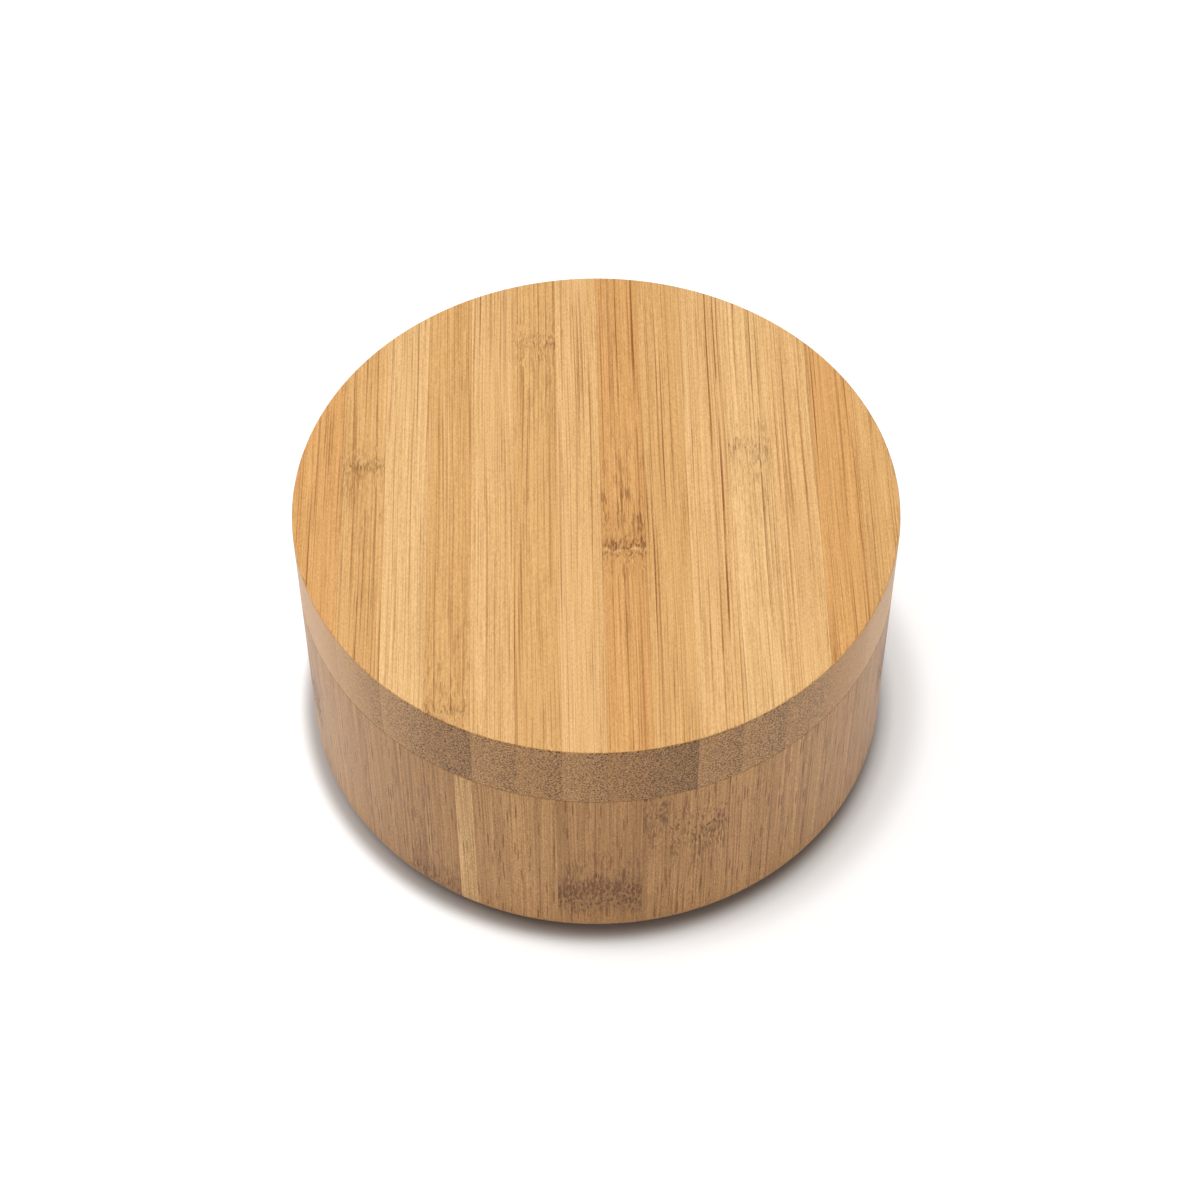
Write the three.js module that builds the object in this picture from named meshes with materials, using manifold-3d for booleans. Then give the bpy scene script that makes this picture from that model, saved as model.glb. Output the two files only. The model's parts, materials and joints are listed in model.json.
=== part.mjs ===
// A bamboo shaving bowl with a lid that lifts off, in millimetres, +Z up.
// The origin is the middle of the underside, and -Y is the front.
//
// The wall is a ring of upright staves, glued edge to edge and turned inside and out.
// The base and the lid are discs, each turned from a board of laths on edge, with their grain along Y.
// The lid's underside has a shallow plug that drops into the mouth and keeps the lid in place.

import * as THREE from "three";
import { mergeVertices } from "three/addons/utils/BufferGeometryUtils.js";
import Module from "manifold-3d";

// The wall
const BOWL_RADIUS = 55;
const BOWL_HEIGHT = 44.8;
const WALL_THICKNESS = 8.5;
const FOOT_ROUND = 5; // radius of the rounded bottom edge
const FOOT_FLAT = 0.5; // the least flat that the round leaves the wall to stand on
const MOUTH_CHAMFER = 0.4;

// The base disc, let into a rebate in the wall from below
const BASE_THICKNESS = 8;
const REBATE_DEPTH = 2;
const BASE_CLEARANCE = 0.3; // between the disc's edge and the rebate

// The lid
const LID_RIM_HEIGHT = 15.2;
const LID_CHAMFER = 0.4;
const PLUG_DEPTH = 4.5;
const PLUG_CHAMFER = 0.8;
const PLUG_CLEARANCE = 0.5; // between the plug and the mouth

// The boards: how many laths make up each disc, and how far its middle joint lies to the right
const LID_LATHS = 14;
const LID_SHIFT = 0.9;
const BASE_LATHS = 12;
const BASE_SHIFT = -1.6;

// The ring: where its first joint is, in degrees from the front towards +X, how wide each of the odd staves
// after it is, and how many equal staves close the ring
const FIRST_JOINT = -39.5;
const ODD_STAVES = [11.3, 3.7, 16, 16, 5, 11.5, 15];
const EVEN_STAVES = 18;
const GLUE_LINE = 0.1;

// Fineness of the turned surfaces
const TURNED_SIDES = 96;
const FOOT_ROUND_STEPS = 6;

// Finishes
const GRAIN = { roughness: 0.5, metalness: 0 };
const LID_COLOURS = { amber: 0xd7a265, honey: 0xdcab70, tan: 0xe1b57c, pale: 0xe9c28e };
const WALL_COLOURS = { brown: 0xa97f58, tan: 0xb98d62, pale: 0xd3ae7c };
const BASE_COLOURS = { tan: 0xc79a67, honey: 0xd0a36e };
const LID_TONES = [
  "amber", "honey", "pale", "honey", "tan", "honey", "tan",
  "amber", "honey", "tan", "pale", "tan", "amber", "honey",
];
const ODD_STAVE_TONES = ["brown", "pale", "tan", "brown", "brown", "tan", "tan"];

const HOLLOW_RADIUS = BOWL_RADIUS - WALL_THICKNESS;
const REBATE_RADIUS = HOLLOW_RADIUS + REBATE_DEPTH;
const BASE_RADIUS = REBATE_RADIUS - BASE_CLEARANCE;
const PLUG_RADIUS = HOLLOW_RADIUS - PLUG_CLEARANCE;
const CUTTER_REACH = 2 * (BOWL_RADIUS + BOWL_HEIGHT + LID_RIM_HEIGHT); // past every surface

const wasm = await Module();
wasm.setup();

// A closed geometry as a solid that can be cut.
function toSolid(geometry) {
  geometry.deleteAttribute("normal");
  geometry.deleteAttribute("uv");
  const merged = mergeVertices(geometry);
  return new wasm.Manifold(
    new wasm.Mesh({
      numProp: 3,
      vertProperties: merged.attributes.position.array,
      triVerts: new Uint32Array(merged.index.array),
    }),
  );
}

function toMesh(solid, name, colour) {
  const cut = solid.getMesh();
  const geometry = new THREE.BufferGeometry();
  geometry.setAttribute("position", new THREE.BufferAttribute(cut.vertProperties, 3));
  geometry.setIndex(new THREE.BufferAttribute(cut.triVerts, 1));
  geometry.computeVertexNormals();
  const material = new THREE.MeshStandardMaterial({ color: colour, ...GRAIN });
  const mesh = new THREE.Mesh(geometry, material);
  mesh.name = name;
  return mesh;
}

// A solid turned from a profile of [radius, height] points.
function turned(profile) {
  const points = profile.map(([radius, height]) => new THREE.Vector2(radius, height));
  return toSolid(new THREE.LatheGeometry(points, TURNED_SIDES).rotateX(Math.PI / 2));
}

// An upright prism on a plan outline, taller than anything that it cuts.
function cutter(outline) {
  const shape = new THREE.Shape(outline);
  const prism = new THREE.ExtrudeGeometry(shape, { depth: 2 * CUTTER_REACH, bevelEnabled: false });
  return toSolid(prism.translate(0, 0, -CUTTER_REACH));
}

function slab(left, right) {
  return cutter([
    new THREE.Vector2(left, -CUTTER_REACH),
    new THREE.Vector2(right, -CUTTER_REACH),
    new THREE.Vector2(right, CUTTER_REACH),
    new THREE.Vector2(left, CUTTER_REACH),
  ]);
}

// The direction in plan at an angle from the front towards +X.
function bearing(degrees) {
  const angle = THREE.MathUtils.degToRad(degrees);
  return new THREE.Vector2(Math.sin(angle), -Math.cos(angle));
}

// A sector between two joints, with half a glue line taken off each side.
function wedge(start, end) {
  const halfAngle = THREE.MathUtils.degToRad((end - start) / 2);
  const apex = bearing((start + end) / 2).multiplyScalar(GLUE_LINE / 2 / Math.sin(halfAngle));
  return cutter([
    apex,
    bearing(start).multiplyScalar(CUTTER_REACH).add(apex),
    bearing(end).multiplyScalar(CUTTER_REACH).add(apex),
  ]);
}

function numbered(stem, index) {
  return `${stem}_${String(index + 1).padStart(2, "0")}`;
}

// A disc cut along its board's joints into laths, from -X to +X.
function laths(disc, radius, count, shift) {
  const pitch = (2 * radius) / count;
  return Array.from({ length: count }, (_, i) => {
    const left = i === 0 ? -CUTTER_REACH : -radius + shift + i * pitch;
    const right = i === count - 1 ? CUTTER_REACH : -radius + shift + (i + 1) * pitch;
    return disc.intersect(slab(left, right));
  });
}

// The wall's section: outer face, chamfered top, hollow, and the rebate for the base.
function wallProfile() {
  const round = Math.min(FOOT_ROUND, WALL_THICKNESS - REBATE_DEPTH - FOOT_FLAT);
  const profile = [[REBATE_RADIUS, 0]];
  for (let i = 0; i <= FOOT_ROUND_STEPS; i++) {
    const angle = (i / FOOT_ROUND_STEPS) * (Math.PI / 2);
    profile.push([
      BOWL_RADIUS - round + round * Math.sin(angle),
      round - round * Math.cos(angle),
    ]);
  }
  profile.push(
    [BOWL_RADIUS, BOWL_HEIGHT - MOUTH_CHAMFER],
    [BOWL_RADIUS - MOUTH_CHAMFER, BOWL_HEIGHT],
    [HOLLOW_RADIUS + MOUTH_CHAMFER, BOWL_HEIGHT],
    [HOLLOW_RADIUS, BOWL_HEIGHT - MOUTH_CHAMFER],
    [HOLLOW_RADIUS, BASE_THICKNESS],
    [REBATE_RADIUS, BASE_THICKNESS],
    [REBATE_RADIUS, 0],
  );
  return profile;
}

function makeWall() {
  const ring = turned(wallProfile());
  const oddTotal = ODD_STAVES.reduce((sum, width) => sum + width, 0);
  const evenWidth = (360 - oddTotal) / EVEN_STAVES;
  const widths = [...ODD_STAVES, ...Array(EVEN_STAVES).fill(evenWidth)];
  const wall = new THREE.Group();
  let start = FIRST_JOINT;
  widths.forEach((width, i) => {
    const tone = ODD_STAVE_TONES[i] ?? (i % 3 ? "tan" : "brown");
    const stave = ring.intersect(wedge(start, start + width));
    wall.add(toMesh(stave, numbered("bowl_stave", i), WALL_COLOURS[tone]));
    start += width;
  });
  return wall;
}

function makeBase() {
  const disc = turned([
    [0, 0],
    [BASE_RADIUS, 0],
    [BASE_RADIUS, BASE_THICKNESS],
    [0, BASE_THICKNESS],
  ]);
  const base = new THREE.Group();
  laths(disc, BASE_RADIUS, BASE_LATHS, BASE_SHIFT).forEach((lath, i) => {
    const tone = i % 2 ? "tan" : "honey";
    base.add(toMesh(lath, numbered("base_lath", i), BASE_COLOURS[tone]));
  });
  return base;
}

// The lid in its own frame, with the underside of its rim at zero.
function makeLid() {
  const disc = turned([
    [0, -PLUG_DEPTH],
    [PLUG_RADIUS - PLUG_CHAMFER, -PLUG_DEPTH],
    [PLUG_RADIUS, PLUG_CHAMFER - PLUG_DEPTH],
    [PLUG_RADIUS, 0],
    [BOWL_RADIUS - LID_CHAMFER, 0],
    [BOWL_RADIUS, LID_CHAMFER],
    [BOWL_RADIUS, LID_RIM_HEIGHT - LID_CHAMFER],
    [BOWL_RADIUS - LID_CHAMFER, LID_RIM_HEIGHT],
    [0, LID_RIM_HEIGHT],
  ]);
  const lid = new THREE.Group();
  laths(disc, BOWL_RADIUS, LID_LATHS, LID_SHIFT).forEach((lath, i) => {
    lid.add(toMesh(lath, numbered("lid_lath", i), LID_COLOURS[LID_TONES[i]]));
  });
  return lid;
}

const shavingBowl = new THREE.Group();
const lid = makeLid();
lid.position.z = BOWL_HEIGHT;
shavingBowl.add(makeWall(), makeBase(), lid);

export default shavingBowl;
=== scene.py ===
# A bamboo shaving bowl with a lid that lifts off. Every lath and stave is a glued-up strip of its own.

import json
import math
import random
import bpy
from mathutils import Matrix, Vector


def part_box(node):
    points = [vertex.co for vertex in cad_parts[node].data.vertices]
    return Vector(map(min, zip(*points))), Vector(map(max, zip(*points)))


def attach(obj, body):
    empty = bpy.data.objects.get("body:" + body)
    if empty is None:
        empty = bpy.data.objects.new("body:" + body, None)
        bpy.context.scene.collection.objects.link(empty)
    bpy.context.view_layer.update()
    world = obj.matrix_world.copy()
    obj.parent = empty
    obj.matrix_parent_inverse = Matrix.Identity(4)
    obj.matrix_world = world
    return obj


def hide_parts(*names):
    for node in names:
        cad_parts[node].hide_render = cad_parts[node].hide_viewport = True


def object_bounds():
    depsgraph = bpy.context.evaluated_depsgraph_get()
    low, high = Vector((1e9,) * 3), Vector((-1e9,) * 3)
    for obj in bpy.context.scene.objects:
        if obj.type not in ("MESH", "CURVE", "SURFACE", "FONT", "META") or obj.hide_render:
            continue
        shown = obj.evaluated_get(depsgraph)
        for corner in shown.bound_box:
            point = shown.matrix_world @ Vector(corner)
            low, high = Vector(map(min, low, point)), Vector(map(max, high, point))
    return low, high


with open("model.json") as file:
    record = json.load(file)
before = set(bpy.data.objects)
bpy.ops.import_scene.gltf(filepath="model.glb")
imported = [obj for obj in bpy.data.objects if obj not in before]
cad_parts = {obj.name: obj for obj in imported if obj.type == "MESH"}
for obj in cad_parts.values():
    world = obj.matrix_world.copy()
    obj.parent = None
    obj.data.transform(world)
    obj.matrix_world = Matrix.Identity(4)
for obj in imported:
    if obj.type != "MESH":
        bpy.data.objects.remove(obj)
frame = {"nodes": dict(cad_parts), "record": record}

from types import SimpleNamespace

import bmesh
import bpy
from mathutils import Matrix, Vector

cad_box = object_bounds()
MM = 0.001

# Turned edges, in metres
LID_EDGE_ROUND = 0.5 * MM
SEAM_ROUND = 0.15 * MM
FOOT_ROUND = 5 * MM
MOUTH_ROUND = 0.7 * MM
PLUG_ROUND = 0.8 * MM
BASE_ROUND = 0.2 * MM
REBATE_DEPTH = 2 * MM
BASE_GAP = 0.3 * MM
PLUG_GAP = 0.5 * MM
GLUE_LINE = 0.1 * MM
GLUE_SHOWN = 0.01 * MM  # what is left open of a glue line

# Fineness of the turned surfaces
TURNED_SIDES = 360
ROUND_STEPS = 6
FOOT_STEPS = 20
LEAST_COLUMNS = 3  # the fewest columns across a stave, which otherwise has one a degree
HOLD = 0.3 * MM  # how near its ends a long straight run of a profile gets an extra row
LONG_RUN = 4 * HOLD
SHARP = math.radians(35)  # edges that turn by more than this stay crisp
CUT_MERGE = 1e-7  # metres: how near a cut a corner counts as on it

BOWL_RADIUS = cad_box[1].x
LID_TOP = cad_box[1].z
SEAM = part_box("bowl_stave_01")[1].z
PLUG_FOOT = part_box("lid_lath_07")[0].z
BASE_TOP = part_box("base_lath_07")[1].z
BASE_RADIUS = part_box("base_lath_07")[1].y
REBATE_RADIUS = BASE_RADIUS + BASE_GAP
HOLLOW_RADIUS = REBATE_RADIUS - REBATE_DEPTH
PLUG_RADIUS = HOLLOW_RADIUS - PLUG_GAP

# Where a strip has a knuckle: millimetres along its fibres from the middle of the bowl or up from the floor,
# how strong its flecks are, which way along the fibres its tails run (1 or -1), and how dark its band is
KNUCKLES = {
    "lid_lath_02": (9.1, 0.5, -1, 0.5),
    "lid_lath_04": (-45.6, 0.5, 1, 0.4),
    "lid_lath_06": (38.5, 0.45, -1, 0.3),
    "lid_lath_08": (-10.4, 0.95, 1, 0.9),
    "lid_lath_11": (12.1, 0.45, -1, 0.4),
    "bowl_stave_01": (3.5, 0.6, 1, 0.6),
    "bowl_stave_04": (13.5, 1.0, 1, 1.0),
    "bowl_stave_05": (42.0, 0.7, -1, 0.4),
    "bowl_stave_06": (32.5, 0.85, -1, 0.1),
    "bowl_stave_10": (31.0, 0.9, -1, 0.8),
    "bowl_stave_14": (12.0, 0.8, 1, 0.6),
    "bowl_stave_19": (36.0, 0.6, -1, 0.3),
    "bowl_stave_23": (20.0, 0.9, 1, 0.9),
    "base_lath_03": (14.0, 0.9, 1, 0.8),
    "base_lath_08": (-22.0, 0.8, -1, 0.6),
}
NO_KNUCKLE = 500.0  # millimetres
NO_JOINT = 99.0  # millimetres

# How far a strip's grain may be moved in millimetres, so that no two strips are alike
GRAIN_OFFSETS = (400, 400, 4000)

# How much darker than usual a lath's end grain is
END_TONES = {"lid_lath_04": 0.5, "lid_lath_09": 1.0, "lid_lath_08": 0.3}


# ---------------------------------------------------------------- turned shapes


def arc(centre, radius, start, end, steps):
    """Points (radius, height) on a round, from one angle to another, in degrees."""
    points = []
    for i in range(steps + 1):
        angle = math.radians(start + (end - start) * i / steps)
        points.append((centre[0] + radius * math.cos(angle), centre[1] + radius * math.sin(angle)))
    return points


def held(profile, closed=False):
    """The profile with a row close to each end of every long straight run, so that its flats shade flat."""
    points = []
    last = len(profile) if closed else len(profile) - 1
    for i in range(last):
        here = Vector(profile[i])
        there = Vector(profile[(i + 1) % len(profile)])
        points.append(here)
        run = (there - here).length
        if run > LONG_RUN:
            points.append(here.lerp(there, HOLD / run))
            points.append(here.lerp(there, 1 - HOLD / run))
    if not closed:
        points.append(Vector(profile[-1]))
    return points


def lid_profile():
    """The lid's outside, from the flat of the plug to the flat of the top."""
    plug, seam, top = PLUG_ROUND, SEAM_ROUND, LID_EDGE_ROUND
    return held([
        *arc((PLUG_RADIUS - plug, PLUG_FOOT + plug), plug, -90, 0, ROUND_STEPS),
        (PLUG_RADIUS, SEAM),
        *arc((BOWL_RADIUS - seam, SEAM + seam), seam, -90, 0, ROUND_STEPS),
        *arc((BOWL_RADIUS - top, LID_TOP - top), top, 0, 90, ROUND_STEPS),
    ])


def base_profile():
    edge = BASE_ROUND
    return held([
        *arc((BASE_RADIUS - edge, edge), edge, -90, 0, ROUND_STEPS),
        *arc((BASE_RADIUS - edge, BASE_TOP - edge), edge, 0, 90, ROUND_STEPS),
    ])


def wall_profile():
    """The wall's section, all the way round, starting at the rebate's foot."""
    foot, seam, mouth = FOOT_ROUND, SEAM_ROUND, MOUTH_ROUND
    return held([
        (REBATE_RADIUS, 0),
        *arc((BOWL_RADIUS - foot, foot), foot, -90, 0, FOOT_STEPS),
        *arc((BOWL_RADIUS - seam, SEAM - seam), seam, 0, 90, ROUND_STEPS),
        *arc((HOLLOW_RADIUS + mouth, SEAM - mouth), mouth, 90, 180, ROUND_STEPS),
        (HOLLOW_RADIUS, BASE_TOP),
        (REBATE_RADIUS, BASE_TOP),
    ], closed=True)


def on_circle(radius, height, angle):
    """A point at an angle in radians from the front, towards +X."""
    return Vector((radius * math.sin(angle), -radius * math.cos(angle), height))


def turned_disc(profile):
    """A closed solid turned from an open profile, with a flat face at each end."""
    bm = bmesh.new()
    rings = []
    for radius, height in profile:
        turns = [2 * math.pi * i / TURNED_SIDES for i in range(TURNED_SIDES)]
        rings.append([bm.verts.new(on_circle(radius, height, turn)) for turn in turns])
    for lower, upper in zip(rings, rings[1:]):
        for i in range(TURNED_SIDES):
            j = (i + 1) % TURNED_SIDES
            bm.faces.new((lower[i], lower[j], upper[j], upper[i]))
    bm.faces.new(reversed(rings[0]))
    bm.faces.new(rings[-1])
    return bm


def cut_away(bm, place, normal):
    """Cuts off what lies past a plane and closes the cut."""
    everything = bm.verts[:] + bm.edges[:] + bm.faces[:]
    cut = bmesh.ops.bisect_plane(
        bm, geom=everything, plane_co=place, plane_no=normal, clear_outer=True, dist=CUT_MERGE
    )
    edges = [e for e in cut["geom_cut"] if isinstance(e, bmesh.types.BMEdge)]
    bmesh.ops.contextual_create(bm, geom=edges)


def lath_between(disc, left, right):
    """One lath of a turned disc, between two joints. None is the disc's own edge."""
    bm = disc.copy()
    if left is not None:
        cut_away(bm, (left, 0, 0), (-1, 0, 0))
    if right is not None:
        cut_away(bm, (right, 0, 0), (1, 0, 0))
    return bm


def stave_between(profile, start, end):
    """One stave of the ring, between two joints in radians, with half a glue line off each side."""
    bm = bmesh.new()
    columns = max(LEAST_COLUMNS, math.ceil(math.degrees(end - start)))
    rings = []
    for i in range(columns + 1):
        share = i / columns
        ring = []
        for radius, height in profile:
            gap = math.asin(GLUE_SHOWN / 2 / radius)
            angle = start + gap + (end - start - 2 * gap) * share
            ring.append(bm.verts.new(on_circle(radius, height, angle)))
        rings.append(ring)
    count = len(profile)
    for here, there in zip(rings, rings[1:]):
        for i in range(count):
            j = (i + 1) % count
            bm.faces.new((here[i], there[i], there[j], here[j]))
    bm.faces.new(rings[0])
    bm.faces.new(reversed(rings[-1]))
    return bm


def joints_of(node):
    """The bearings of a stave's two joints in radians, read from its CAD solid's outermost corners."""
    places = [v.co for v in frame["nodes"][node].data.vertices]
    middle = sum(places, Vector())
    facing = math.atan2(middle.x, -middle.y)
    turn = Matrix.Rotation(-facing, 3, "Z")
    reach = max(place.to_2d().length for place in places)
    angles = []
    for place in places:
        if place.to_2d().length > reach - MM:
            level = turn @ place
            angles.append(math.atan2(level.x, -level.y))
    gap = math.asin(GLUE_LINE / 2 / reach)
    return facing + min(angles) - gap, facing + max(angles) + gap


# ---------------------------------------------------------------- pieces


def make_piece(bm, node, body, material, strip_space):
    """Turns a solid into the piece that stands for a CAD node.
    strip_space gives a point's place in its strip in millimetres, across, through and along it, then its
    depth from 0 to 1, and how far it is from each joint."""
    bmesh.ops.recalc_face_normals(bm, faces=bm.faces[:])
    for face in bm.faces:
        face.smooth = True
        if len(face.verts) > 4:
            for edge in face.edges:
                edge.smooth = False
    mesh = bpy.data.meshes.new(node + "_strip")
    bm.to_mesh(mesh)
    bm.free()
    mesh.set_sharp_from_angle(angle=SHARP)
    write_attributes(mesh, node, strip_space)
    piece = bpy.data.objects.new(node + "_strip", mesh)
    bpy.context.scene.collection.objects.link(piece)
    mesh.materials.append(material)
    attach(piece, body)
    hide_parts(node)


def write_attributes(mesh, node, strip_space):
    """Gives the mesh what its bamboo needs to know: the grain's own space, depth, knuckle and joints."""
    seed = random.Random(node)
    offset = Vector([seed.uniform(0, furthest) for furthest in GRAIN_OFFSETS])
    tone = seed.uniform(-1, 1)
    place, strength, tails, band = KNUCKLES.get(node, (None, 0, 1, 0))
    grain = mesh.attributes.new("grain", "FLOAT_VECTOR", "POINT")
    strip = mesh.attributes.new("strip", "FLOAT_VECTOR", "POINT")
    joints = mesh.attributes.new("joints", "FLOAT_VECTOR", "POINT")
    piece = mesh.attributes.new("piece", "FLOAT_VECTOR", "POINT")
    for i, vertex in enumerate(mesh.vertices):
        across, through, along, depth, first, second = strip_space(vertex.co)
        knuckle = NO_KNUCKLE if place is None else (along - place) * tails
        grain.data[i].vector = Vector((across, through, along)) + offset
        strip.data[i].vector = (depth, knuckle, strength)
        joints.data[i].vector = (first, second, 0)
        piece.data[i].vector = (tone, END_TONES.get(node, 0), band)


def lath_space(left, right, has_left, has_right):
    """The grain of a lath: across is X from its left joint, through is height, and the fibres run along Y."""
    width = (right - left) / MM

    def space(place):
        across = (place.x - left) / MM
        first = across if has_left else NO_JOINT
        second = width - across if has_right else NO_JOINT
        return across, place.z / MM, place.y / MM, across / width, first, second

    return space


def stave_space(start, end):
    """The grain of a stave: across and through are level, and the fibres stand."""
    turn = Matrix.Rotation(-(start + end) / 2, 3, "Z")
    half = (end - start) / 2

    def space(place):
        level = turn @ place / MM
        across, out = level.x, -level.y
        first = across * math.cos(half) + out * math.sin(half)
        second = out * math.sin(half) - across * math.cos(half)
        depth = (out - HOLLOW_RADIUS / MM) / ((BOWL_RADIUS - HOLLOW_RADIUS) / MM)
        return across, out, place.z / MM, depth, first, second

    return space


def slots_by_node():
    """The record's material slot of every CAD node."""
    return {
        part["node"]: part["material_slot"]
        for part in frame["record"]["subparts"]
    }


def make_laths(stem, body, profile, slots, materials):
    names = sorted(name for name in frame["nodes"] if name.startswith(stem))
    disc = turned_disc(profile)
    for i, name in enumerate(names):
        low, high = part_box(name)
        has_left, has_right = i > 0, i < len(names) - 1
        bm = lath_between(disc, low.x if has_left else None, high.x if has_right else None)
        space = lath_space(low.x, high.x, has_left, has_right)
        make_piece(bm, name, body, materials[slots[name]], space)
    disc.free()


def make_staves(slots, materials):
    profile = wall_profile()
    for name in sorted(name for name in frame["nodes"] if name.startswith("bowl_stave")):
        start, end = joints_of(name)
        bm = stave_between(profile, start, end)
        make_piece(bm, name, "bowl", materials[slots[name]], stave_space(start, end))


# ---------------------------------------------------------------- shader maths


class Shade:
    """A number socket of a material, so that a mask is written as a sum. 1 - mask works too."""

    def __init__(self, tree, socket):
        self.tree = tree
        self.socket = socket

    def maths(self, operation, first, second=None, clamp=False):
        made = self.tree.nodes.new("ShaderNodeMath")
        made.operation = operation
        made.use_clamp = clamp
        connect(self.tree, first, made.inputs[0])
        if second is not None:
            connect(self.tree, second, made.inputs[1])
        return Shade(self.tree, made.outputs[0])

    def __add__(self, other):
        return self.maths("ADD", self, other)

    def __sub__(self, other):
        return self.maths("SUBTRACT", self, other)

    def __mul__(self, other):
        return self.maths("MULTIPLY", self, other)

    def __rsub__(self, other):
        return self.maths("SUBTRACT", other, self)

    __radd__ = __add__
    __rmul__ = __mul__

    def __abs__(self):
        return self.maths("ABSOLUTE", self)

    def least(self, other):
        return self.maths("MINIMUM", self, other)

    def clamped(self):
        return self.maths("ADD", self, 0, clamp=True)

    def rise(self, low, high):
        """0 below low, 1 above high, and a smooth step between. With low above high it falls instead."""
        made = self.tree.nodes.new("ShaderNodeMapRange")
        made.interpolation_type = "SMOOTHSTEP"
        connect(self.tree, self, made.inputs["Value"])
        made.inputs["From Min"].default_value = min(low, high)
        made.inputs["From Max"].default_value = max(low, high)
        made.inputs["To Min"].default_value = 0 if low < high else 1
        made.inputs["To Max"].default_value = 1 if low < high else 0
        return Shade(self.tree, made.outputs[0])


def connect(tree, value, socket):
    """Links a shade or a socket, or sets a plain value."""
    if isinstance(value, Shade):
        value = value.socket
    if isinstance(value, bpy.types.NodeSocket):
        tree.links.new(value, socket)
    elif isinstance(value, tuple) and len(value) == 3 and socket.type == "RGBA":
        socket.default_value = (*value, 1)
    else:
        socket.default_value = value


class Bench:
    """A material being made: its node tree and the moves that build it."""

    def __init__(self, name):
        self.material = bpy.data.materials.new(name)
        self.material.use_nodes = True
        self.tree = self.material.node_tree
        self.tree.nodes.clear()

    def node(self, kind, settings=None, inputs=None):
        """Any node: its settings are set first, then its sockets, by name or number."""
        made = self.tree.nodes.new("ShaderNode" + kind)
        for key, value in (settings or {}).items():
            setattr(made, key, value)
        for key, value in (inputs or {}).items():
            connect(self.tree, value, made.inputs[key])
        return made

    def shade(self, socket):
        return Shade(self.tree, socket)

    def parts(self, name):
        """A mesh attribute's vector socket, and its three numbers."""
        vector = self.node("Attribute", {"attribute_name": name}).outputs["Vector"]
        split = self.node("SeparateXYZ", inputs={0: vector})
        return vector, [self.shade(socket) for socket in split.outputs]

    def vector(self, x, y, z):
        return self.node("CombineXYZ", inputs={0: x, 1: y, 2: z}).outputs[0]

    def vector_maths(self, operation, first, second):
        return self.node("VectorMath", {"operation": operation}, {0: first, 1: second}).outputs[0]

    def noise(self, place, size, detail=2.0, roughness=0.5):
        """Noise whose blobs measure size (across, through, along) in millimetres. It lies evenly about 0."""
        scaled = self.vector_maths("MULTIPLY", place, tuple(1 / side for side in size))
        made = self.node(
            "TexNoise", {"noise_dimensions": "3D"},
            {"Vector": scaled, "Scale": 1.0, "Detail": detail, "Roughness": roughness},
        )
        return self.shade(made.outputs["Fac"]) - 0.5

    def cells(self, place, size):
        """The distance from the middle of the nearest cell, of the given size, and the cell's random lot."""
        scaled = self.vector_maths("MULTIPLY", place, tuple(1 / side for side in size))
        made = self.node(
            "TexVoronoi", {"voronoi_dimensions": "3D", "feature": "F1"}, {"Vector": scaled, "Scale": 1.0}
        )
        lot = self.node("SeparateXYZ", inputs={0: made.outputs["Color"]}).outputs[0]
        return self.shade(made.outputs["Distance"]), self.shade(lot)

    def blend(self, share, first, second):
        """Two colours mixed: the first where share is 0, the second where it is 1."""
        made = self.node("Mix", {"data_type": "RGBA"}, {0: share, 6: first, 7: second})
        return made.outputs[2]

    def tint(self, base, factor):
        """A colour made lighter or darker by a number."""
        return self.node("VectorMath", {"operation": "SCALE"}, {0: base, "Scale": factor}).outputs[0]

    def finish(self, sockets):
        """The surface itself, and its output."""
        surface = self.node("BsdfPrincipled", inputs=sockets)
        output = self.node("OutputMaterial")
        self.tree.links.new(surface.outputs[0], output.inputs["Surface"])
        return self.material


def colour(code):
    """A linear colour from its usual hexadecimal code."""
    channels = [int(code[i:i + 2], 16) / 255 for i in (0, 2, 4)]
    return tuple(c / 12.92 if c <= 0.04045 else ((c + 0.055) / 1.055) ** 2.4 for c in channels)


# ---------------------------------------------------------------- bamboo

# Each finish: the pale ground between the fibres, the darker ground, and how strong its dark fibre lines are
FINISHES = {
    "lid_amber": ("E8B06C", "D29856", 1.0),
    "lid_honey": ("E8B673", "D49E5E", 1.0),
    "lid_tan": ("F0C082", "DDAA68", 0.95),
    "lid_pale": ("F2C486", "E0B070", 0.85),
    "wall_brown": ("B4844B", "8E602D", 1.0),
    "wall_tan": ("B9894D", "976735", 1.0),
    "wall_pale": ("CE9F62", "B48A52", 0.7),
    "base_tan": ("D2A068", "B5824A", 0.9),
    "base_honey": ("DAAA6C", "C08C50", 0.8),
}
ROSY = "D08C5A"
PALE_CURL = "EBC68E"
END_GROUND = "9B6F43"
END_DOT = "3C1E08"
RIM_PAINTED_SHADE = "A98058"  # painted shade on the laths' upright long grain, such as the rims: darker and greyer than their tops

# How a strip is cut decides what its surface shows. A reach is a pair of distances from a knuckle in
# millimetres: past the first there is nothing, and within the second a mark has its full strength.
# A rise is a pair of values: up to the first there is nothing, and from the second on it is full.
# A lath shows its edge: its knuckles are narrow with long tails, and its fibres run along Y.
LATH_CUT = SimpleNamespace(
    shows_face=False,
    fibre_axis=1,
    line_colour="844402",
    knuckle_colour="663200",
    knuckle_reach=(2.6, 0.5),
    knuckle_strength=0.7,
    band_strength=0.1,
    tail_reach=(42.0, 3.0),
    tail_size=(0.28, 0.28, 3.6),
    tail_rise=(0.0, 0.1),
    pore_strength=0.2,
    thread_depth=0.85,
    grit_depth=0.6,
    end_rise=(0.4, 0.85),
)
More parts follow.
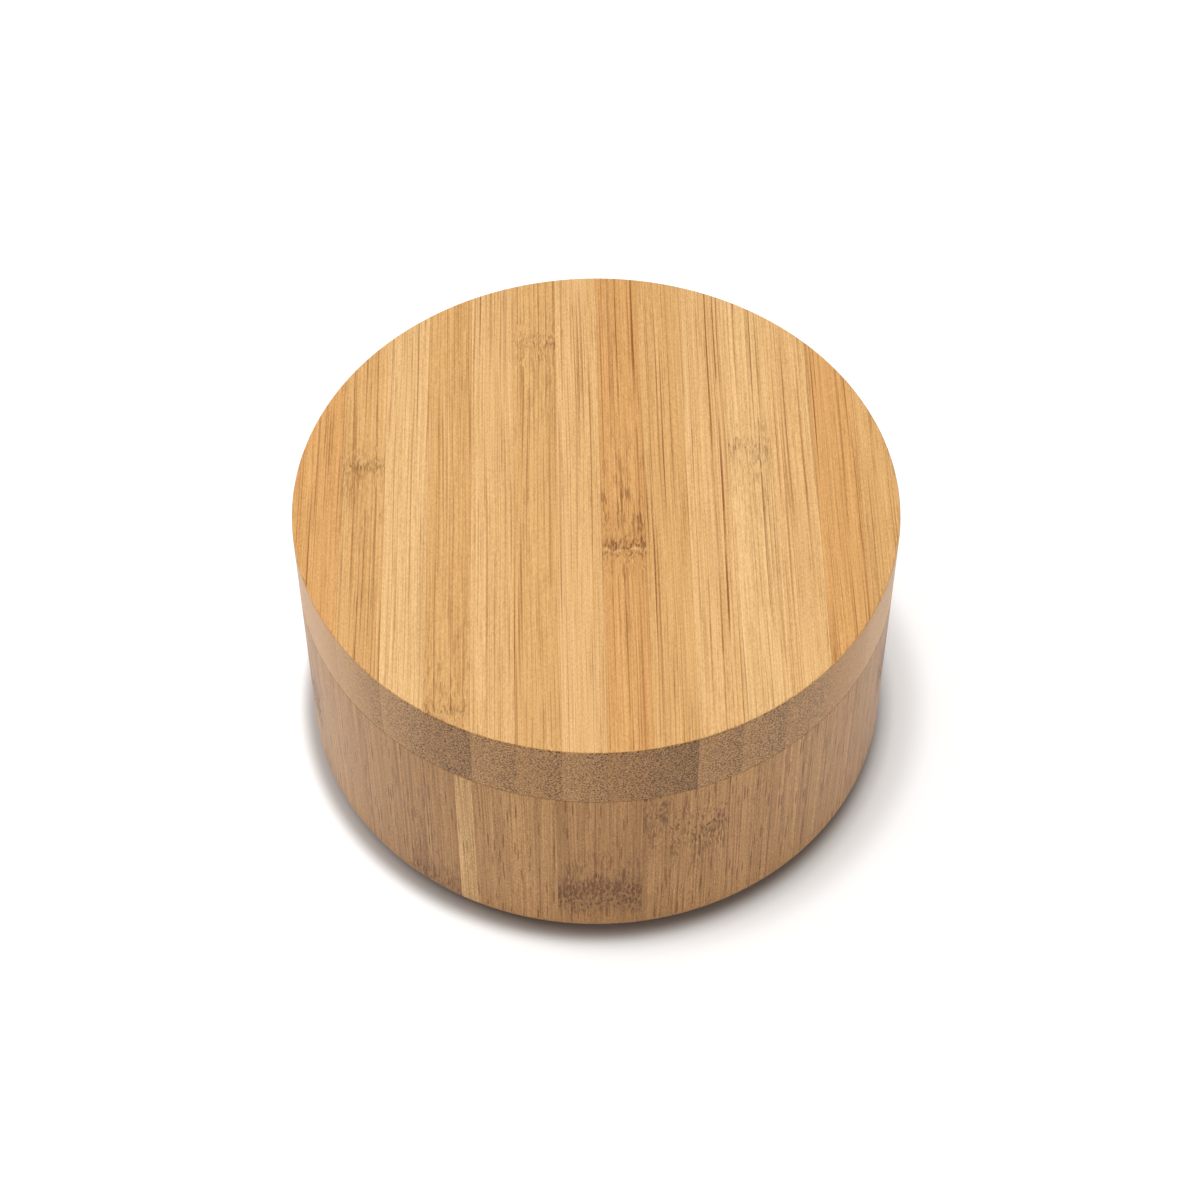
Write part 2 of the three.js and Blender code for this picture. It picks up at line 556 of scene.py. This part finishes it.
# A stave shows its face: its knuckles are broad and dotted, its pores show, and its fibres stand.
STAVE_CUT = SimpleNamespace(
    shows_face=True,
    fibre_axis=2,
    line_colour="784814",
    knuckle_colour="603606",
    knuckle_reach=(7.5, 2.5),
    knuckle_strength=0.8,
    band_strength=0.3,
    tail_reach=(20.0, 6.0),
    tail_size=(0.32, 0.32, 2.2),
    tail_rise=(-0.03, 0.07),
    pore_strength=1.0,
    thread_depth=1.6,
    grit_depth=1.25,
    end_rise=(0.6, 0.92),
)

# The size of each mark in millimetres: across the fibres, through the strip, and along the fibres
WANDER = (14.0, 14.0, 80.0)
SWIRL = (1.3, 1.3, 3.0)
UNEVEN = (2.2, 2.2, 6.0)
RAGGED_CLUMP = (1.2, 1.2, 6.0)
RAGGED_THREAD = (0.35, 0.35, 6.0)
BROAD_BAND = (3.2, 3.2, 180.0)
STREAK = (0.6, 0.6, 110.0)
THREAD = (0.24, 0.24, 24.0)
GRIT = (0.24, 0.24, 0.6)
ROSY_PATCH = (3.5, 3.5, 120.0)
BUNDLE = (0.7, 0.7, 90.0)
VEIN = (1.15, 1.15, 520.0)
VEIN_BREAK = (1.6, 1.6, 16.0)
HAIR = (0.24, 0.24, 60.0)
PORE = (0.6, 0.6, 8.0)
FACE_FLECK = (0.6, 0.5, 1.4)
EDGE_FLECK = (0.3, 0.3, 1.3)
TAIL_CLUMP = (2.4, 2.4, 7.0)
SQUIGGLE = (0.9, 0.9, 30.0)
SQUIGGLE_BREAK = (0.8, 0.8, 0.8)
END_DOT_CELL = (0.4, 0.4, 26.0)
END_SPECKLE = (0.26, 0.26, 0.26)

KNUCKLE_SURROUND = (9.0, 2.5)  # the reach in which the fibres swirl
BAND_REACH = (9.5, 4.0)
JOINT_HAIR = (0.07, 0.02)  # millimetres from a joint: nothing past the first, full strength within the second
RELIEF_STRENGTH = 0.35
RELIEF_HEIGHT = 0.06 * MM
LACQUER = {"Specular IOR Level": 0.22, "Sheen Weight": 0.12, "Sheen Roughness": 0.5}


class Bamboo:
    """Bamboo of one finish, on strips of one cut. Marks are masks from 0 to 1, and noises lie about 0."""

    def __init__(self, slot, cut):
        self.bench = bench = Bench(slot + "_bamboo")
        self.cut = cut
        self.light, self.dark, self.line_strength = FINISHES[slot]
        self.grain, _ = bench.parts("grain")
        _, (self.depth, self.knuckle, self.knuckled) = bench.parts("strip")
        _, (first_joint, second_joint, _) = bench.parts("joints")
        _, (self.tone, self.end_tone, self.banded) = bench.parts("piece")
        normal = bench.node("SeparateXYZ", inputs={0: bench.node("NewGeometry").outputs["Normal"]})
        self.facing_along = abs(bench.shade(normal.outputs[cut.fibre_axis]))
        self.facing_up = abs(bench.shade(normal.outputs[2]))
        self.joint = first_joint.least(second_joint).rise(*JOINT_HAIR)
        self.lay_fibres()
        self.mark_ground()
        self.mark_lines()
        self.mark_knuckle()
        self.mark_end_grain()

    def lay_fibres(self):
        """The space that the fibres run in. They wander a little, and swirl to a tangle near a knuckle."""
        bench, grain = self.bench, self.grain
        self.uneven = self.knuckle + bench.noise(grain, UNEVEN) * 4
        near_knuckle = abs(self.uneven).rise(*KNUCKLE_SURROUND) * self.knuckled
        wander = bench.noise(grain, WANDER, detail=1) * 1.8
        swirl = bench.noise(grain, SWIRL, detail=1) * near_knuckle * 1.5
        bend = bench.vector(wander + swirl, wander * 0.5 - swirl, swirl * 2.0)
        self.fibre = bench.vector_maths("ADD", grain, bend)

    def mark_ground(self):
        """Ground tones, from broad bands down to single threads and the grit of sanding."""
        bench, fibre = self.bench, self.fibre
        broad = bench.noise(fibre, BROAD_BAND)
        self.streak = bench.noise(fibre, STREAK, detail=3, roughness=0.8)
        self.thread = bench.noise(fibre, THREAD, detail=1)
        self.grit = bench.noise(fibre, GRIT, detail=1)
        across = (self.depth - 0.5) * 0.15
        self.ground = (0.36 + broad * 0.6 + self.streak * 1.7 + self.thread * 0.8 + across).clamped()
        self.fineness = self.thread * self.cut.thread_depth + self.grit * self.cut.grit_depth

    def mark_lines(self):
        """Fibre bundles cut lengthwise: close fine ones, and sparse dark veins, which run on for a hand's
        breadth. Pores show as short dashes, mostly where a stave's face is cut along them."""
        bench, fibre = self.bench, self.fibre
        near_bundle, bundle_lot = bench.cells(fibre, BUNDLE)
        bundles = near_bundle.rise(0.32, 0.2) * bundle_lot.rise(0.1, 0.8)
        near_vein, vein_lot = bench.cells(fibre, VEIN)
        unbroken = bench.noise(self.grain, VEIN_BREAK).rise(-0.2, 0.06)
        self.veins = near_vein.rise(0.2, 0.11) * vein_lot.rise(0.1, 0.5) * unbroken
        hair = bench.noise(fibre, HAIR, detail=1).rise(0.06, 0.18)
        near_pore, pore_lot = bench.cells(fibre, PORE)
        pores = near_pore.rise(0.37, 0.22) * pore_lot.rise(0.3, 0.7) * self.cut.pore_strength
        lines = bundles * 0.45 + self.veins * 0.65 + hair * 0.5 + pores * 0.9
        self.lines = lines.clamped() * self.line_strength

    def flecks(self):
        """A knuckle's short dark dashes. On a face they are dots, which crowd where there is a dark band."""
        bench, fibre = self.bench, self.fibre
        if self.cut.shows_face:
            near_fleck, fleck_lot = bench.cells(fibre, FACE_FLECK)
            return near_fleck.rise(0.58, 0.34) * (fleck_lot + self.banded * 0.45).rise(0.4, 0.7)
        return bench.noise(fibre, EDGE_FLECK).rise(-0.04, 0.12)

    def mark_knuckle(self):
        """The knuckle: a dark band, flecks, a pale squiggle across them, and tails that follow the fibres."""
        bench, grain, cut = self.bench, self.grain, self.cut
        flecks = self.flecks()
        at_knuckle = abs(self.uneven).rise(*cut.knuckle_reach) * self.knuckled
        ragged = bench.noise(grain, RAGGED_CLUMP) * 3 + bench.noise(grain, RAGGED_THREAD, detail=1) * 9
        self.band = abs(self.knuckle - 0.5 + ragged).rise(*BAND_REACH) * self.banded
        tail = bench.noise(self.fibre, cut.tail_size, detail=1).rise(*cut.tail_rise)
        clumps = bench.noise(grain, TAIL_CLUMP, detail=1).rise(-0.12, 0.06)
        on_tail_side = self.uneven.rise(-1.5, 1.0) * self.uneven.rise(*cut.tail_reach)
        tails = tail * clumps * on_tail_side * self.knuckled
        squiggle = abs(self.knuckle + bench.noise(grain, SQUIGGLE) * 3.4 + 1.0)
        unbroken = bench.noise(grain, SQUIGGLE_BREAK, detail=1).rise(-0.12, 0.1)
        self.pale_curl = squiggle.rise(0.5, 0.15) * unbroken * self.knuckled
        under_curl = abs(squiggle - 0.9).rise(0.5, 0.1) * self.knuckled * flecks
        self.tangle = (at_knuckle * flecks + tails * 0.8 + under_curl * 0.6).clamped()

    def mark_end_grain(self):
        """Fibre bundles cut across, as dark dots that crowd towards the culm's outer side."""
        self.end = self.facing_along.rise(*self.cut.end_rise)
        near_dot, dot_lot = self.bench.cells(self.fibre, END_DOT_CELL)
        crowd = (self.depth * 0.5 + 0.4 + dot_lot * 0.3 + self.end_tone * 0.3).clamped()
        self.dots = near_dot.rise(0.48, 0.26) * crowd

    def long_grain_colour(self):
        bench, cut = self.bench, self.cut
        line_colour = colour(cut.line_colour)
        knuckle_colour = colour(cut.knuckle_colour)
        pale = bench.blend(self.tone * 0.06 + 0.06, colour(self.light), colour(self.dark))
        base = bench.blend(self.ground, pale, colour(self.dark))
        rosy = bench.noise(self.grain, ROSY_PATCH, detail=1).rise(-0.1, 0.25)
        base = bench.blend(rosy * 0.08, base, colour(ROSY))
        base = bench.blend(self.lines * 0.9, base, line_colour)
        base = bench.blend(self.band * cut.band_strength, base, knuckle_colour)
        base = bench.blend(self.tangle * cut.knuckle_strength, base, knuckle_colour)
        # A darker thread is a redder one too
        threads = bench.vector(1 + self.fineness * 0.75, 1 + self.fineness, 1 + self.fineness * 1.5)
        base = bench.vector_maths("MULTIPLY", base, threads)
        return base if cut.shows_face else bench.blend(self.pale_curl * 0.5, base, colour(PALE_CURL))

    def end_grain_colour(self, long_grain):
        bench = self.bench
        speckle = bench.noise(self.grain, END_SPECKLE, detail=1) * 2.2
        shade = speckle + 0.98 - self.depth * 0.12 - self.end_tone * 0.22
        ground = bench.tint(bench.blend(0.8, long_grain, colour(END_GROUND)), shade)
        return bench.blend(self.dots * 0.9, ground, colour(END_DOT))

    def surface_colour(self):
        bench = self.bench
        base = self.long_grain_colour()
        end_grain = self.end_grain_colour(base)
        if not self.cut.shows_face:
            # Painted shade: the laths' upright sides are coloured darker and greyer than their tops
            upright_painted_shade = self.facing_up.rise(0.9, 0.3)
            base = bench.blend(upright_painted_shade * 0.55, base, colour(RIM_PAINTED_SHADE))
        base = bench.blend(self.end, base, end_grain)
        return bench.blend(self.joint * 0.25, base, colour(self.cut.line_colour))

    def relief(self):
        """Threads stand up a little, and veins, knuckles, dots and joints are sunk."""
        raised = self.thread * 0.6 + self.streak * 0.5
        height = raised - self.veins * 0.6 - self.tangle * 0.8 - self.dots * self.end * 0.6 - self.joint
        return self.bench.node("Bump", inputs={
            "Strength": RELIEF_STRENGTH,
            "Distance": RELIEF_HEIGHT,
            "Height": height,
        }).outputs[0]

    def made(self):
        """The finished material."""
        roughness = 0.48 + self.grit * 0.14 + self.streak * 0.1 + self.end * 0.14 + self.tangle * 0.1
        return self.bench.finish({
            "Base Color": self.surface_colour(),
            "Roughness": roughness.clamped(),
            "Normal": self.relief(),
            **LACQUER,
        })


# ---------------------------------------------------------------- studio

FLOOR_SIDE = 60.0
FLOOR_MOTTLE = (0.2, 0.2, 0.2)  # metres
FLOOR_WHITES = ((0.77, 0.77, 0.77), (0.79, 0.79, 0.785))
# The colour of the floor's painted contact shadow at the bowl's foot, and the strength of its painted glow,
# which lifts its shadows away from the bowl
FOOT_SHADE = (0.32, 0.27, 0.235)
GLOW_STRENGTH = 0.47

ROOM_LIGHT = 0.62
SOFTBOX_SIDE = 0.9
SOFTBOX_POWER = 6.0
SOFTBOX_PLACE = Vector((-0.26, 0.04, 1.1))
SOFTBOX_AIM = Vector((0, 0, 0.03))

LENS = 90.0
SENSOR_WIDTH = 36
CAMERA_DISTANCE = 0.5429
CAMERA_HEIGHT_ANGLE = math.radians(51.25)
CAMERA_TILT = math.radians(53.14)
CAMERA_TURN = math.radians(1.2)
CAMERA_ASIDE = 0.0007


def floor_rise(bench, aside, near, far):
    """0 under the bowl and 1 away from it. It rises between two distances from the bowl's side, about a
    middle that lies a little aside of the bowl's own. All three are in millimetres."""
    place = bench.node("TexCoord").outputs["Object"]
    offset = bench.vector_maths("SUBTRACT", place, (aside * MM, 0.0, 0.0))
    distance = bench.node("VectorMath", {"operation": "LENGTH"}, {0: offset}).outputs["Value"]
    return bench.shade(distance).rise(BOWL_RADIUS + near * MM, BOWL_RADIUS + far * MM)


def make_sweep():
    """A white floor's paint, with a painted glow that lifts its shadows away from the bowl, and a painted
    contact shadow at the bowl's foot.
    """
    bench = Bench("white_sweep")
    mottle = bench.noise(bench.node("TexCoord").outputs["Object"], FLOOR_MOTTLE)
    white = bench.blend(mottle * 0.2 + 0.5, *FLOOR_WHITES)
    glow = floor_rise(bench, 0, 0, 4.5) * 0.53 + floor_rise(bench, 5, -0.5, 7) * 0.47
    return bench.finish({
        "Base Color": bench.blend(floor_rise(bench, -1.2, -0.7, 2.8), FOOT_SHADE, white),
        "Roughness": 0.8,
        "Emission Color": bench.blend(glow, (0.0, 0.0, 0.0), (1.0, 1.0, 1.0)),
        "Emission Strength": GLOW_STRENGTH,
    })


def make_floor():
    bpy.ops.mesh.primitive_plane_add(size=FLOOR_SIDE, location=(0, 0, 0))
    floor = bpy.context.object
    floor.name = "floor"
    floor.data.materials.append(make_sweep())


def make_light():
    """An even white room and one softbox overhead, to the left."""
    world = bpy.data.worlds.new("studio")
    bpy.context.scene.world = world
    world.use_nodes = True
    backdrop = world.node_tree.nodes["Background"]
    backdrop.inputs["Color"].default_value = (1, 1, 1, 1)
    backdrop.inputs["Strength"].default_value = ROOM_LIGHT
    lamp = bpy.data.lights.new("softbox", "AREA")
    lamp.shape = "SQUARE"
    lamp.size = SOFTBOX_SIDE
    lamp.energy = SOFTBOX_POWER
    softbox = bpy.data.objects.new("softbox", lamp)
    bpy.context.scene.collection.objects.link(softbox)
    softbox.location = SOFTBOX_PLACE
    softbox.rotation_euler = (SOFTBOX_AIM - SOFTBOX_PLACE).to_track_quat("-Z", "Y").to_euler()


def make_camera():
    """The camera looks down on the lid from the front."""
    camera = bpy.data.objects.new("camera", bpy.data.cameras.new("camera"))
    bpy.context.scene.collection.objects.link(camera)
    camera.data.lens = LENS
    camera.data.sensor_width = SENSOR_WIDTH
    level = CAMERA_DISTANCE * math.cos(CAMERA_HEIGHT_ANGLE)
    place = Vector((CAMERA_ASIDE, -level, CAMERA_DISTANCE * math.sin(CAMERA_HEIGHT_ANGLE)))
    turn = Matrix.Rotation(-CAMERA_TURN, 3, "Z")
    camera.location = turn @ place + Vector((0, 0, LID_TOP))
    forward = turn @ Vector((0, math.cos(CAMERA_TILT), -math.sin(CAMERA_TILT)))
    camera.rotation_euler = forward.to_track_quat("-Z", "Y").to_euler()
    bpy.context.scene.camera = camera


def main():
    slots = slots_by_node()
    materials = {
        slot: Bamboo(slot, STAVE_CUT if slot.startswith("wall") else LATH_CUT).made()
        for slot in FINISHES
    }
    make_laths("lid_lath", "lid", lid_profile(), slots, materials)
    make_laths("base_lath", "bowl", base_profile(), slots, materials)
    make_staves(slots, materials)
    make_floor()
    make_light()
    make_camera()
    bpy.context.scene.view_settings.view_transform = "Standard"


main()
